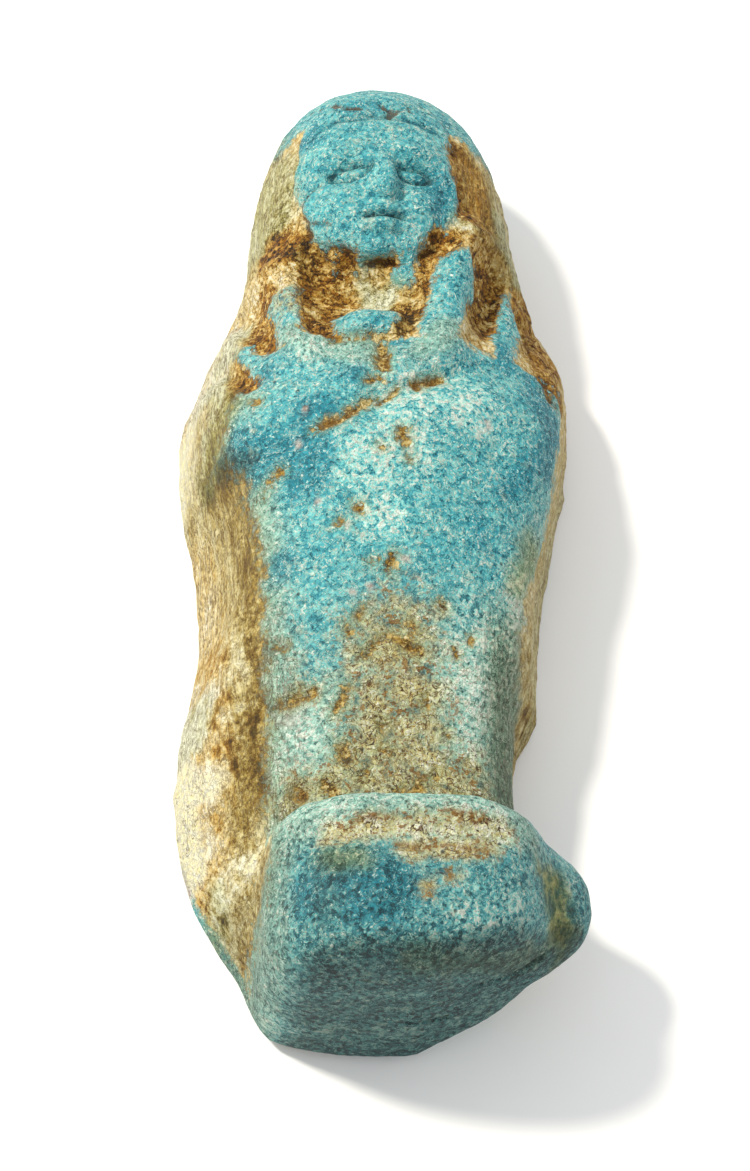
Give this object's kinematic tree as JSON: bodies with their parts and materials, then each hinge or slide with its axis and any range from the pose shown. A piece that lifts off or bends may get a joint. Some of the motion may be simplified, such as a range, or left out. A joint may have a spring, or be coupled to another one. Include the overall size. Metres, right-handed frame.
{
  "type": "ushabti figurine",
  "caption": "Small worn faience ushabti lying on its flat back, with bell-shaped wig, folded arms, wrapped body and upturned foot block.",
  "frame": {"origin": "middle of the box around the figure, on the flat back that it lies on", "axes": "+X to the figure's left, +Y along the figure from the feet to the crown, +Z out of the front, up from the table"},
  "size_m": [0.0232, 0.0606, 0.015],
  "materials": {
    "faience": "worn matte turquoise glaze with tan and brown bare body"
  },
  "bodies": {
    "root": {"figurine": "faience"}
  },
  "joints": []
}
